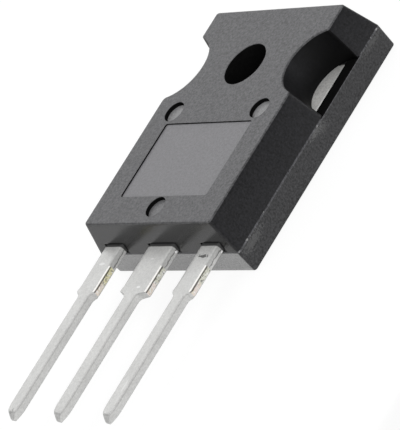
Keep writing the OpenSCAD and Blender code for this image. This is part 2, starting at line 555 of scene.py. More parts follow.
class Surface:
    """A material being wired: its tree, its place in millimetres, its grain and its shader."""

    def __init__(self, name: str, effects: Effects, grain: Grain) -> None:
        """Starts a material that reads object coordinates in millimetres and has the shared grain.

        Args:
            name: name of the material.
            effects: the shared groups.
            grain: the values that the grain gets here.
        """
        self.material = bpy.data.materials.new(name)
        self.material.use_nodes = True
        self.tree = Tree(self.material.node_tree)
        place = self.tree.node("ShaderNodeTexCoord").outputs["Object"]
        self.vector = self.tree.node("ShaderNodeMapping", {0: place, 3: grey(1 / MM)}).outputs[0]
        self.x, self.y, self.z = self.tree.node("ShaderNodeSeparateXYZ", {0: self.vector}).outputs
        self.shader = self.tree.node("ShaderNodeBsdfPrincipled")
        self.tree.node("ShaderNodeOutputMaterial", {0: self.shader.outputs[0]})
        self.relief = grain
        self.tone, self.height, self.cloud = self.use(effects.grain, {
            "Grain Scale": grain.fine_scale, "Cloud Scale": grain.cloud_scale,
            "Grain": grain.fine, "Clouds": grain.clouds,
        })

    def use(self, effect: bpy.types.NodeTree, values: dict[str, float]) -> list[Socket]:
        """Places a shared group with its own values and gives what it puts out."""
        made = self.tree.node("ShaderNodeGroup", {"Vector": self.vector, **values}, node_tree=effect)
        return list(made.outputs)

    def noise(self, noise: Noise) -> Socket:
        """A noise over the piece."""
        return self.tree.noise(self.vector, noise)

    def zone(self, zone: Zone) -> Socket:
        """One inside a zone of the moulding and nothing outside."""
        made = self.tree.node("ShaderNodeAttribute", attribute_name="zone_" + zone.name.lower())
        return made.outputs["Fac"]

    def shade(self, colour: Triple, tone: Socket) -> Socket:
        """The colour times a tone that changes over the surface."""
        made = self.tree.node("ShaderNodeCombineColor", dict.fromkeys(range(3), tone))
        return self.tree.mix(1.0, colour, made.outputs[0], "MULTIPLY")

    def finish(self, height: Socket, **values: Value) -> bpy.types.Material:
        """Raises the surface by a height, and sets or links the shader's inputs.

        Args:
            height: how high the surface stands, in shares of the grain's relief.
            values: value or socket of each input; underscores stand for spaces.

        Returns:
            The finished material.
        """
        relief = {"Strength": self.relief.bump, "Distance": self.relief.relief_mm * MM}
        values["Normal"] = self.tree.node("ShaderNodeBump", {"Height": height, **relief}).outputs[0]
        for key, value in values.items():
            self.tree.fill(self.shader.inputs[key.replace("_", " ")], value)
        return self.material


@dataclass(frozen=True)
class Patches:
    """Patches where a noise stands high: the noise, the range they fade in over and their strength."""

    noise: Noise
    low: float
    high: float
    strength: float = 1.0

    def mask(self, s: Surface) -> Socket:
        """Their strength where the noise is above the range."""
        return s.tree.ramp(s.noise(self.noise), self.low, self.high, 0.0, self.strength)


@dataclass(frozen=True)
class Blot:
    """A small ragged mark on a surface: its middle, half sizes, tone, strength and raggedness."""

    TEAR: ClassVar[Noise] = Noise(7.0)
    INNER: ClassVar[float] = 0.8
    OUTER: ClassVar[float] = 1.1

    middle: Triple
    reach: Triple
    tone: float
    strength: float = 1.0
    ragged: float = 0.9

    def mask(self, s: Surface) -> Socket:
        """Its strength inside an ellipsoid, whose edge a fine noise tears.

        Args:
            s: the material that it goes into.

        Returns:
            The mask.
        """
        t = s.tree
        away = t.vector("SUBTRACT", s.vector, self.middle)
        length = t.vector("LENGTH", t.vector("DIVIDE", away, self.reach))
        torn = t.spread(s.noise(self.TEAR), self.ragged)
        return t.ramp(t.add(length, torn), self.INNER, self.OUTER, self.strength, 0.0)


@dataclass(frozen=True)
class MouldingFinish:
    """Filled black epoxy: each zone has its own gloss and grain, and most zones a colour of painted light
    and shade.
    """

    # Painted light and shade, zone by zone: the upper walls and the lead end are shaded copies of the
    # face's epoxy, the lower side is less shaded, the lower lead end is a lit copy, and the panel and the
    # floors of the marks are lighter with a painted sheen over their smoother skin; the rounded edges
    # keep about the face's colour.
    lit_and_shaded_tones: dict[Zone, Triple] = field(default_factory=lambda: {
        Zone.PANEL: (0.15, 0.148, 0.158),
        Zone.MARK_FLOOR: (0.265, 0.265, 0.27),
        Zone.EDGE: (0.07, 0.07, 0.073),
        Zone.MOULD_FLOOR: (0.16, 0.16, 0.165),
        Zone.SIDE: (0.0125, 0.0125, 0.014),
        Zone.LEAD_END: (0.011, 0.011, 0.012),
        Zone.LOWER_SIDE: (0.0245, 0.0245, 0.026),
        Zone.LOWER_LEAD_END: (0.145, 0.145, 0.145),
    })
    coarseness: dict[Zone, float] = field(default_factory=lambda: {
        Zone.PANEL: 0.3, Zone.MARK_FLOOR: 0.4, Zone.MOULD_FLOOR: 0.4, Zone.LOWER_SIDE: 1.6,
    })
    face: Triple = (0.067, 0.067, 0.072)
    # near black of the painted shade round the leads
    black: Triple = (0.003, 0.003, 0.003)
    flash: Triple = (0.3, 0.3, 0.3)
    grain: Grain = Grain(6.0, 0.35, 0.72, 0.08, 0.34, 0.03)
    ior: float = 1.47
    roughness: float = 0.42
    gloss: float = 0.2
    polish: float = 0.36
    uneven: float = 0.03
    coat_roughness: float = 0.25
    coat_ior: float = 1.5
    speck: Noise = Noise(3.2, 5.0, 0.75)
    speck_from: float = 0.64
    speck_fade: float = 0.08
    flash_spots: tuple[tuple[float, float], ...] = (
        (4.9, 0.5), (3.3, 0.4), (-3.6, 0.9), (-11.2, 0.1), (-13.6, 1.0),
    )
    spot_fade: float = 0.3
    spot_lift: float = 0.1
    scuffs: tuple[Blot, ...] = (
        Blot((7.9, -3.9, 1.85), (0.5, 0.8, 0.2), 0.13, 0.6, 1.1),
        Blot((7.9, -3.3, 1.5), (0.5, 0.5, 0.25), 0.1, 0.4, 1.2),
        Blot((7.9, 4.3, 1.8), (0.5, 1.2, 0.25), 0.1, 0.4, 1.2),
        Blot((7.9, -13.4, 1.6), (0.5, 1.1, 0.35), 0.12, 0.45, 1.0),
    )
    # how far the painted shade round the leads reaches on the lead end
    lead_shade_squash: float = 3.0
    lead_shade_from: float = 0.3
    lead_shade_to: float = 0.8
    lead_shade_lean: float = 0.25

    def build(self, effects: Effects) -> bpy.types.Material:
        """Builds the material.

        Args:
            effects: the shared groups.

        Returns:
            The material.
        """
        s = Surface("black_moulding", effects, self.grain)
        t = s.tree
        colour, speckle = s.shade(self.face, s.tone), t.less(s.tone, 1.0)
        # Lays each zone's colour of painted light and shade over the face's colour.
        for zone, own in self.lit_and_shaded_tones.items():
            tone = t.math("MULTIPLY_ADD", speckle, self.coarseness.get(zone, 1.0), 1.0)
            colour = t.mix(s.zone(zone), colour, s.shade(own, tone))
        # Paints black shade on the lead end close round each lead.
        colour = t.mix(t.times(s.zone(Zone.LEAD_END), self._lead_shade_mask(s)), colour, self.black)
        for scuff in self.scuffs:
            colour = t.mix(t.times(scuff.mask(s), s.zone(Zone.LOWER_SIDE)), colour, grey(scuff.tone))
        colour = t.mix(t.times(s.zone(Zone.FLASH), self._specks(s)), colour, self.flash)
        smooth = t.add(s.zone(Zone.LEAD_END), s.zone(Zone.LOWER_LEAD_END))
        rough = t.times(smooth, self.gloss - self.roughness)
        rough = t.add(rough, t.times(s.zone(Zone.PANEL), self.polish - self.roughness))
        rough = t.add(rough, t.spread(s.cloud, self.uneven))
        return s.finish(
            s.height, Base_Color=colour, Roughness=t.add(rough, self.roughness), IOR=self.ior,
            Coat_Weight=s.zone(Zone.LOWER_LEAD_END), Coat_Roughness=self.coat_roughness,
            Coat_IOR=self.coat_ior,
        )

    def _specks(self, s: Surface) -> Socket:
        """Specks of bright flash: one where a noise stands high, with more of them near the spots.

        Args:
            s: the material that they go into.

        Returns:
            The mask.
        """
        t = s.tree
        speck = s.noise(self.speck)
        for place, reach in self.flash_spots:
            away = t.math("ABSOLUTE", t.less(s.y, place))
            speck = t.add(speck, t.ramp(away, reach, reach + self.spot_fade, self.spot_lift, 0.0))
        return t.above(speck, self.speck_from, self.speck_fade)

    def _lead_shade_mask(self, s: Surface) -> Socket:
        """Painted shade beside the leads: one there, falling to nothing with the distance from the
        nearest lead's outline.

        Args:
            s: the material that it goes into.

        Returns:
            The mask.
        """
        t = s.tree
        middle, half_z = (LEAD_LOW + LEAD_HIGH) / 2, (LEAD_HIGH - LEAD_LOW) / 2
        above = t.less(t.math("ABSOLUTE", t.less(s.z, middle)), half_z)
        above = t.times(t.math("MAXIMUM", above, 0.0), self.lead_shade_squash)
        nearest = None
        for centre, half in LEAD_EXITS:
            side = t.math("ABSOLUTE", t.less(s.x, centre + self.lead_shade_lean))
            side = t.math("MAXIMUM", t.less(side, half + self.lead_shade_lean), 0.0)
            away = t.math("SQRT", t.add(t.times(side, side), t.times(above, above)))
            nearest = away if nearest is None else t.math("MINIMUM", nearest, away)
        return t.ramp(nearest, self.lead_shade_from, self.lead_shade_to, 1.0, 0.0)


@dataclass(frozen=True)
class PlainFinish:
    """A finish that is the same all over: a colour with a grain of its own."""

    name: str
    colour: Triple
    roughness: float
    grain: Grain
    metallic: float = 0.0
    ior: float = 1.5
    uneven: float = 0.0

    def tone(self, s: Surface) -> Socket:
        """How light the finish is over the piece: the grain's own tone."""
        return s.tone

    def build(self, effects: Effects) -> bpy.types.Material:
        """Builds the material.

        Args:
            effects: the shared groups.

        Returns:
            The material.
        """
        s = Surface(self.name, effects, self.grain)
        rough = self.roughness
        if self.uneven:
            rough = s.tree.add(s.tree.spread(s.cloud, self.uneven), rough)
        return s.finish(
            s.height, Base_Color=s.shade(self.colour, self.tone(s)), Roughness=rough,
            Metallic=self.metallic, IOR=self.ior,
        )


@dataclass(frozen=True)
class RecessShade(PlainFinish):
    """Painted shade in the bores, on the walls of the marks and on the ledges: the epoxy painted near
    black, and dull.
    """

    name: str = "recess_shade"
    colour: Triple = (0.004, 0.004, 0.004)
    roughness: float = 0.7
    grain: Grain = Grain(4.5, 0.5, 0.3, 0.2, 0.2, 0.02)
    ior: float = 1.12


@dataclass(frozen=True)
class NotchShade(RecessShade):
    """Painted shade on the walls of the notches, darker towards the top end and down to the metal.

    The narrow ring close round each lead has this painted shade too.
    """

    name: str = "notch_wall_shade"
    colour: Triple = (0.012, 0.012, 0.013)
    roughness: float = 0.5
    ior: float = 1.27
    fade_y: Pair = (0.0, 1.8)
    far_tone: float = 0.22
    fade_z: Pair = (2.4, 3.9)
    low_tone: float = 0.36
    high_tone: float = 1.2

    def tone(self, s: Surface) -> Socket:
        """How light the painted shade is: the grain's tone times one ramp along y and one over the
        height.

        Args:
            s: the material that it goes into.

        Returns:
            The tone.
        """
        t = s.tree
        along = t.ramp(s.y, *self.fade_y, 1.0, self.far_tone)
        return t.times(s.tone, t.times(along, t.ramp(s.z, *self.fade_z, self.low_tone, self.high_tone)))


@dataclass(frozen=True)
class MetalFinish(PlainFinish):
    """A small metal or silicon part inside."""

    grain: Grain = Grain(9.0, 1.5, 0.08, 0.08, 0.15, 0.008)
    metallic: float = 1.0
    uneven: float = 0.06


@dataclass(frozen=True)
class TinFinish:
    """Matte tin plate over copper strip: a faint mottle, lines along the strip, pale and dull spots, two
    white spots that are painted glints, and painted shade along the rounded top edge.

    Next to the moulding a thin band is painted black, and the die has torn the sides there.
    """

    colour: Triple = (0.57, 0.57, 0.56)
    dull: Triple = (0.5, 0.5, 0.495)
    edge_black: Triple = (0.05, 0.05, 0.05)
    # dark of the torn sides' wear, and of the painted shade on the top edge
    wear_and_shade: Triple = (0.03, 0.03, 0.03)
    grain: Grain = Grain(7.0, 0.6, 0.13, 0.05, 0.1, 0.008)
    roughness: float = 0.36
    metallic: float = 0.2
    line_scale: float = 6.0
    line_rough: float = 0.05
    line_bump: float = 0.5
    dull_patches: Patches = Patches(Noise(1.6, 4.0), 0.6, 0.7, 0.35)
    wave: Noise = Noise(2.2)
    wave_mm: float = 0.06
    black_calm: float = 0.8
    black_to: float = 14.9
    torn_end: float = 16.5
    torn_fade: float = 0.1
    line_from: float = 2.54
    band_from: float = 2.62
    band_to: float = 2.86
    band_fade: float = 0.08
    band_shade: float = 0.15
    line_shade: float = 0.7
    ridge_from: float = 2.81
    ridge_fade: float = 0.03
    ridge_to: float = 2.88
    ridge_shade: float = 0.16
    edge: float = 0.02
    spots_and_glints: tuple[Blot, ...] = (
        Blot((5.5, -15.8, 2.95), (0.42, 0.12, 0.2), 0.03, 0.85),
        Blot((-5.45, -16.43, 2.95), (0.3, 0.12, 0.2), 0.85, 0.6, 0.4),
        Blot((0.405, -18.5, 2.95), (0.2, 0.1, 0.2), 0.85, 0.7, 0.4),
        Blot((0.0, -16.0, 2.95), (0.2, 0.06, 0.2), 0.85, 0.6, 0.4),
        # The next two white spots, on the sides by the moulding, are painted glints.
        Blot((1.475, -15.055, 2.5), (0.2, 0.1, 0.1), 1.0, 1.0, 0.3),
        Blot((6.45, -15.0, 2.38), (0.2, 0.1, 0.1), 1.0, 1.0, 0.3),
        Blot((5.69, -27.05, 2.95), (0.08, 0.6, 0.1), 0.8, 0.5, 0.4),
        Blot((-5.25, -29.36, 2.88), (0.1, 0.16, 0.12), 0.15, 0.5, 0.5),
        Blot((-5.5, -29.5, 2.8), (0.08, 0.1, 0.1), 0.2, 0.45, 0.5),
    )

    def build(self, effects: Effects) -> bpy.types.Material:
        """Builds the material.

        Args:
            effects: the shared groups.

        Returns:
            The material.
        """
        s = Surface("tin_plate", effects, self.grain)
        t = s.tree
        lines, = s.use(effects.drawn, {"Scale": self.line_scale})
        colour = t.mix(self.dull_patches.mask(s), s.shade(self.colour, s.tone), self.dull)
        wave = t.spread(s.noise(self.wave), self.wave_mm)
        out = t.add(t.times(s.y, -1.0), wave)
        torn = t.times(self._torn(s, wave), t.below(out, self.torn_end, self.torn_fade))
        colour = t.mix(torn, colour, self.wear_and_shade)
        # Paints shade in a band along the rounded top edge of each lead.
        ridge = t.ramp(s.z, self.ridge_from, self.ridge_from + self.ridge_fade, 0.0, self.ridge_shade)
        colour = t.mix(t.times(ridge, t.below(s.z, self.ridge_to, self.edge)), colour, self.wear_and_shade)
        for blot in self.spots_and_glints:
            colour = t.mix(blot.mask(s), colour, grey(blot.tone))
        # A thin band painted black on the lead next to the moulding, with the metal turned off there.
        black_mask = t.add(out, t.times(wave, -self.black_calm))
        black_mask = t.below(black_mask, self.black_to - self.edge / 2, self.edge)
        colour = t.mix(black_mask, colour, self.edge_black)
        return s.finish(
            t.add(t.times(lines, self.line_bump), s.height), Base_Color=colour,
            Metallic=t.times(t.less(1.0, black_mask), self.metallic),
            Roughness=t.add(t.spread(lines, self.line_rough), self.roughness),
        )

    def _torn(self, s: Surface, wave: Socket) -> Socket:
        """Wear of the sides that the die tore: a grey band by height, over a dark line.

        Args:
            s: the material that it goes into.
            wave: how far the band and the line sway.

        Returns:
            The mask.
        """
        t = s.tree
        height = t.add(s.z, wave)
        upper = t.above(height, self.band_from, self.edge)
        band = t.times(upper, t.below(height, self.band_to, self.band_fade))
        line = t.times(t.above(height, self.line_from, self.edge), t.less(1.0, upper))
        return t.add(t.times(band, self.band_shade), t.times(line, self.line_shade))


@dataclass(frozen=True)
class PlateFinish:
    """Matte plating of the heatsink: a coarse grain, painted light that is lighter at the notch's low end
    and darker at its high end, and a black patch in the notch's far corner.
    """

    colour: Triple = (0.79, 0.785, 0.765)
    edge_black: Triple = (0.006, 0.006, 0.006)
    grain: Grain = Grain(6.0, 0.8, 0.2, 0.06, 0.25, 0.02)
    wave: Noise = Noise(2.5, rough=0.55)
    wave_mm: float = 0.08
    black_from: float = 1.93
    face_from: float = 1.9
    fade: float = 0.05
    shade_to: float = 2.0
    near_tone: float = 1.33
    far_tone: float = 0.73
    roughness: float = 0.5
    metallic: float = 0.5

    def build(self, effects: Effects) -> bpy.types.Material:
        """Builds the material.

        Args:
            effects: the shared groups.

        Returns:
            The material.
        """
        s = Surface("matte_plate", effects, self.grain)
        t = s.tree
        # A black patch painted in the far corner of the notch, with the metal turned off there.
        edge = t.add(s.y, t.spread(s.noise(self.wave), self.wave_mm))
        black_mask = t.above(edge, self.black_from, self.fade)
        black_mask = t.times(black_mask, t.above(s.z, self.face_from, self.fade))
        # Painted light and shade: the plate lighter towards the low end of the notch and darker towards
        # the high end.
        light = t.ramp(s.y, -self.shade_to, self.shade_to, self.near_tone, self.far_tone)
        colour = t.mix(black_mask, s.shade(self.colour, t.times(s.tone, light)), self.edge_black)
        metallic = t.times(t.less(1.0, black_mask), self.metallic)
        return s.finish(s.height, Base_Color=colour, Metallic=metallic, Roughness=self.roughness)


@dataclass(frozen=True)
class CopperFinish:
    """Sheared copper strip: a lip whose burnish carries a painted glint, a dark line painted as shade
    under it, and a torn face, olive above and pink below.
    """

    pink: Triple = (0.8, 0.71, 0.66)
    tan: Triple = (0.74, 0.66, 0.53)
    olive: Triple = (0.76, 0.72, 0.46)
    grey: Triple = (0.66, 0.66, 0.57)
    smear: Triple = (0.9, 0.9, 0.88)
    dark: Triple = (0.05, 0.045, 0.04)
    # near white of the painted glint on the lip
    burnish_glint: Triple = (0.95, 0.94, 0.91)
    grain: Grain = Grain(5.0, 0.9, 0.0, 0.0, 0.5, 0.04)
    roughness: float = 0.4
    metallic: float = 0.25
    pink_patches: Patches = Patches(Noise(1.5), 0.45, 0.55)
    smears: Patches = Patches(Noise(4.5, rough=0.7), 0.54, 0.58, 0.85)
    pits: Patches = Patches(Noise(6.0), 0.56, 0.6, 0.75)
    pits_below: float = 0.35
    olive_to: float = -4.0
    olive_fade: float = 1.0
    drift: Noise = Noise(1.9, 4.0, 0.7)
    drift_mm: float = 0.6
    torn_to: float = -18.05
    torn_fade: float = 0.3
    wave: Noise = Noise(2.5)
    wave_mm: float = 0.05
    dark_from: float = 2.77
    dark_fade: float = 0.02
    dark_share: float = 0.85
    bright_from: float = 2.88
    bright_fade: float = 0.015

    def build(self, effects: Effects) -> bpy.types.Material:
        """Builds the material.

        Args:
            effects: the shared groups.

        Returns:
            The material.
        """
        s = Surface("sheared_copper", effects, self.grain)
        t = s.tree
        stain = t.mix(t.above(s.x, self.olive_to, self.olive_fade), self.olive, self.grey)
        place = t.add(s.y, t.spread(s.noise(self.drift), self.drift_mm))
        upper = t.above(place, self.torn_to, self.torn_fade)
        colour = t.mix(upper, t.mix(self.pink_patches.mask(s), self.tan, self.pink), stain)
        colour = t.mix(self.smears.mask(s), colour, self.smear)
        pits = t.times(self.pits.mask(s), t.ramp(upper, 0.0, 1.0, self.pits_below, 1.0))
        colour = t.mix(pits, colour, self.dark)
        # A dark line painted as the shade under the lip; the dark colour also serves the real pits.
        height = t.add(s.z, t.spread(s.noise(self.wave), self.wave_mm))
        line = t.times(t.above(height, self.dark_from, self.dark_fade), self.dark_share)
        colour = t.mix(line, colour, self.dark)
        # A painted glint on the lip's burnish, with the metal turned off there.
        bright = t.above(s.z, self.bright_from, self.bright_fade)
        colour = t.mix(bright, colour, self.burnish_glint)
        metallic = t.times(t.less(1.0, bright), self.metallic)
        return s.finish(s.height, Base_Color=colour, Metallic=metallic, Roughness=self.roughness)


@dataclass(frozen=True)
class Heatsink:
    """The metal plate with its rounded edges and the hole that the moulded ring fills."""

    half_w: float = 6.8
    top: float = 4.65
    bottom: float = 11.9
    corner_r: float = 0.8
    top_r: float = 0.15
    thick: float = 2.05
    ring_r: float = 3.5
    edge: float = 0.07
    support: float = 0.04
    low_stops: tuple[float, ...] = (-8.0, -5.0)
    stops: tuple[float, ...] = (-2.0, 0.0, 2.0)

    def outline(self, stops: tuple[float, ...]) -> RoundedBox:
        """The plate from above, with more points at the stops along its sides."""
        sides = (*self.low_stops, *stops)
        return RoundedBox(self.half_w, -self.bottom, self.top, self.corner_r, self.top_r, sides)

    def add(self, shell: Shell) -> None:
        """Adds the plate: level faces, rounded edges and upright walls, all from offset outlines.

        Args:
            shell: where the patches go.
        """
        reach, rounding = self.edge + self.support, edge_round(self.edge)
        rows = self.outline(self.stops).sweep(np.concatenate([
            [(-reach, 0.0)], -rounding,
            rounding[::-1] * MIRROR + (0.0, self.thick), [(-reach, self.thick)],
        ]))
        hole = Circle(0.0, 0.0, self.ring_r).sweep([(0.0, self.thick), (0.0, 0.0)])
        shell.grid(rows, Skin.PLATE)
        shell.grid(hole, Skin.PLATE)
        shell.flat([rows[-1, :, :2], hole[0, :, :2]], self.thick, True, Skin.PLATE)
        shell.flat([rows[0, :, :2], hole[1, :, :2]], 0.0, False, Skin.PLATE)


@dataclass(frozen=True)
class Half:
    """One half of the mould.

    It has the leans of its walls in degrees, the way and the height of its level face, the radius of
    the edge there, its levels counted from the seam, and whether the notches are cut into it.
    """

    side: float
    lead: float
    top: float
    notch: float
    way: int
    face_z: float
    edge: float
    levels: tuple[float, ...]
    wall: Zone
    lead_wall: Zone
    notched: bool


@dataclass(frozen=True)
class Moulding:
    """The black moulding: two leaning mould halves round the heatsink, with its notches and marks."""

    SEGMENTS: ClassVar[dict[str, tuple[int, str, str]]] = {
        "lead_end": (0, "lead", "lead"),
        "out": (3, "lead", "lead"),
        "corner_low": (6, "lead", "side"),
        "side": (44, "side", "side"),
        "mouth_low": (6, "side", "notch"),
        "arc_low": (5, "notch", "notch"),
        "arc": (40, "notch", "notch"),
        "arc_high": (5, "notch", "notch"),
        "mouth_high": (4, "notch", "side"),
        "upper": (12, "side", "side"),
        "corner_high": (6, "side", "top"),
        "end": (26, "top", "top"),
    }
    BEND: ClassVar[int] = 6
    FLASH_ROWS: ClassVar[int] = 2
    EDGE_ROWS: ClassVar[int] = 2
    MARK_ROWS: ClassVar[int] = 5
    BORE_ROWS: ClassVar[int] = 4
    MOUTH_LOW: ClassVar[int] = 4
    MOUTH_HIGH: ClassVar[int] = 2
    NEAR_LEAD: ClassVar[tuple[float, ...]] = (-0.3, -0.12, -0.05, 0.0, 0.03, 0.06, 0.09, 0.12, 0.16, 0.25)
    WAVES: ClassVar[tuple[Pair, ...]] = ((0.9, 0.0), (0.37, 1.0), (2.3, 2.0))
    WAVE_TOP: ClassVar[float] = 2.0
    upper: Half = Half(
        15.0, 8.0, 10.0, 7.0, 1, 4.95, 0.12,
        (0.0, 0.02, 0.07, 0.14, 0.17, 0.2, 0.22, 0.25, 0.57, 0.9, 0.92, 0.94, 0.97,
         1.0, 1.1, 1.4, 1.8, 2.2, 2.6),
        Zone.SIDE, Zone.LEAD_END, True,
    )
    lower: Half = Half(
        3.0, 1.0, 1.0, 3.0, -1, 0.02, 0.1, (0.0, 0.02, 0.07, 0.2, 0.5, 0.9, 1.3, 1.7),
        Zone.LOWER_SIDE, Zone.LOWER_LEAD_END, False,
    )
    plate: Heatsink = Heatsink()
    half_w: float = 7.9
    top: float = 5.65
    bottom: float = 14.85
    corner_r: float = 0.25
    seam_inset: float = 0.02
    notch_x: float = 7.8
    notch_r: float = 2.55
    mouth_low: float = 0.45
    mouth_high: float = 0.19
    end_reach: float = 6.75
    end_step: float = 0.35
    end_gap: float = 0.015
    out_gap: float = 0.08
    hole_r: float = 1.85
    hole_edge: float = 0.06
    mark_r: float = 0.875
    mark_edge: float = 0.03
    mark_points: int = 56
    pin_mark: Triple = (4.81, -4.2, 0.32)
    mould_mark: Triple = (-0.05, -12.95, 0.3)
    panel: RoundedBox = RoundedBox(4.85, -11.975, -5.325, 0.2, 0.2)
    panel_depth: float = 0.09
    exit_gap: float = 0.1
    exit_depth: float = 0.12
    exit_ring: float = 0.12
    exit_lean: float = 0.1
    exit_reach: float = 1.0
    support: float = 0.04
    mark_support: float = 0.015
    match_gap: float = 0.02

    def _spans(self) -> dict[str, slice]:
        """The columns of each segment of the right half outline, in order from the lead end.

        Returns:
            The columns, by the segment's name.
        """
        counts = {key: count for key, (count, *_) in self.SEGMENTS.items()}
        counts["lead_end"] = len(self._end_x())
        stops = np.cumsum([0, *counts.values()]).tolist()
        return {key: slice(first, last) for key, first, last in zip(counts, stops[:-1], stops[1:])}

    def _end_x(self) -> Array:
        """Places along the lead end, close together at the sides of each lead.

        Returns:
            The places, from the middle to the right.
        """
        near = np.array(self.NEAR_LEAD)
        places = [np.arange(0.0, self.end_reach, self.end_step)]
        places += [x + side * (half + near) for x, half in LEAD_EXITS for side in Side]
        every = np.unique(np.round(np.concatenate(places), PLACE_DECIMALS))
        every = every[(every >= 0) & (every < self.end_reach)]
        return every[np.concatenate([[True], np.diff(every) > self.end_gap])]

    def _half_plan(self, z: Array, notched: bool) -> tuple[Array, Array]:
        """The right half of the outline at given heights.

        Straight runs and arcs follow one another from the lead end's middle to the top end's
        middle; a mouth arc touches the side line and the notch circle.

        Args:
            z: height of each row and column, (rows, columns).
            notched: whether the notch is cut in.

        Returns:
            Points (rows, columns, 2) and their directions into the material.
        """
        over, under = np.maximum(z - self.plate.thick, 0.0), np.maximum(self.plate.thick - z, 0.0)
        half = self.half_w - (over * slope(self.upper.side) + under * slope(self.lower.side))
        top = self.top - (over * slope(self.upper.top) + under * slope(self.lower.top))
        low = -self.bottom + (over * slope(self.upper.lead) + under * slope(self.lower.lead))
        radius = self.notch_r + over * slope(self.upper.notch)
        spans = self._spans()
        plan = np.zeros((*z.shape, 4))

        def at(value: Number, part: slice) -> Number:
            """One segment's columns of a value that may change over the rows and columns."""
            return value[:, part] if np.ndim(value) == 2 else value

        def run(part: slice, start: tuple, end: tuple, inward: Pair, last: bool = False) -> None:
            """Fills a segment with a straight run: its start plus a share of the way to its end.

            Args:
                part: the segment's columns.
                start: x and y of its start.
                end: x and y of its end.
                inward: direction into the material.
                last: whether the end itself is a point of the run.
            """
            share = np.linspace(0, 1, part.stop - part.start, endpoint=last)
            for axis in range(2):
                first = at(start[axis], part)
                plan[:, part, axis] = first + (at(end[axis], part) - first) * share
            plan[:, part, 2:] = inward

        def bend(key: str, way: int, *values: Number) -> None:
            """Fills a segment with an arc, whose directions the way turns into the material.

            Args:
                key: name of the segment.
                way: 1 round a hollow and -1 round a corner.
                values: what arc takes before the share.
            """
            part = spans[key]
            share = np.linspace(0, 1, part.stop - part.start, endpoint=False)
            plan[:, part] = arc(*(at(value, part) for value in values), share) * (1, 1, way, way)

        def mouth(size: float) -> tuple[Array, Array]:
            """Where a mouth arc stands: its centre's height over the notch's, and where the arcs touch.

            Args:
                size: radius of the mouth arc.

            Returns:
                The height, and the turn in degrees.
            """
            reach = self.notch_x - half + size
            rise = np.sqrt((radius + size) ** 2 - reach**2)
            return rise, np.degrees(np.arctan2(rise, reach))

        y_low, turn_low = mouth(self.mouth_low)
        y_high, turn_high = mouth(self.mouth_high)
        cross = math.degrees(math.acos((self.plate.half_w - self.notch_x) / self.notch_r))
        r, ends, x = self.corner_r, self._end_x(), self.notch_x
        run(spans["lead_end"], (ends, low), (ends, low), (0.0, 1.0))
        run(spans["out"], (ends[-1] + self.out_gap, low), (half - r, low), (0.0, 1.0))
        bend("corner_low", -1, half - r, low + r, r, -90, 0)
        run(spans["side"], (half, low + r), (half, -y_low), (-1.0, 0.0))
        if notched:
            bend("mouth_low", -1, half - self.mouth_low, -y_low, self.mouth_low, 0, turn_low)
            bend("arc_low", 1, x, 0, radius, 180 + turn_low, 360 - cross)
            bend("arc", 1, x, 0, radius, 360 - cross, cross)
            bend("arc_high", 1, x, 0, radius, cross, 180 - turn_high)
            bend("mouth_high", -1, half - self.mouth_high, y_high, self.mouth_high, -turn_high, 0)
        else:
            gap = slice(spans["mouth_low"].start, spans["mouth_high"].stop)
            run(gap, (half, -y_low), (half, y_high), (-1.0, 0.0))
        run(spans["upper"], (half, y_high), (half, top - r), (-1.0, 0.0))
        bend("corner_high", -1, half - r, top - r, r, 0, 90)
        run(spans["end"], (half - r, top), (0.0, top), (0.0, -1.0), True)
        return plan[..., :2], plan[..., 2:]

    def _leans(self, half: Half) -> Array:
        """Lean of the wall round the right half outline, even along each segment.

        Args:
            half: the mould half.

        Returns:
            The leans, (columns,).
        """
        return np.concatenate([
            np.linspace(getattr(half, first), getattr(half, last), part.stop - part.start)
            for (_, first, last), part in zip(self.SEGMENTS.values(), self._spans().values())
        ])

    def _rim(self, x: Array, z: Array) -> Array:
        """How deep the lead end is rounded in beside a lead: it falls off with the distance squared.

        Args:
            x: place of each point across the part.
            z: its height.

        Returns:
            The depth at each point.
        """
        deep = np.zeros_like(x)
        for centre, half in LEAD_EXITS:
            side = np.maximum(np.abs(x - centre) - half, 0.0)
            height = np.maximum(np.maximum(LEAD_LOW - z, z - LEAD_HIGH), 0.0)
            near = np.clip(1 - np.hypot(side, height) / self.exit_gap, 0.0, 1.0)
            deep = np.maximum(deep, self.exit_depth * near**2)
        return deep

    def _ridge(self, columns: int) -> Array:
        """Height of the flash along the seam: sine waves of unlike length, cut off below nothing.

        Args:
            columns: number of columns round the outline.

        Returns:
            The height at each column.
        """
        place = np.arange(columns)
        wave = sum(np.sin(place * rate + start) for rate, start in self.WAVES)
        return self.seam_inset * np.clip(wave / self.WAVE_TOP, 0.0, 1.0)

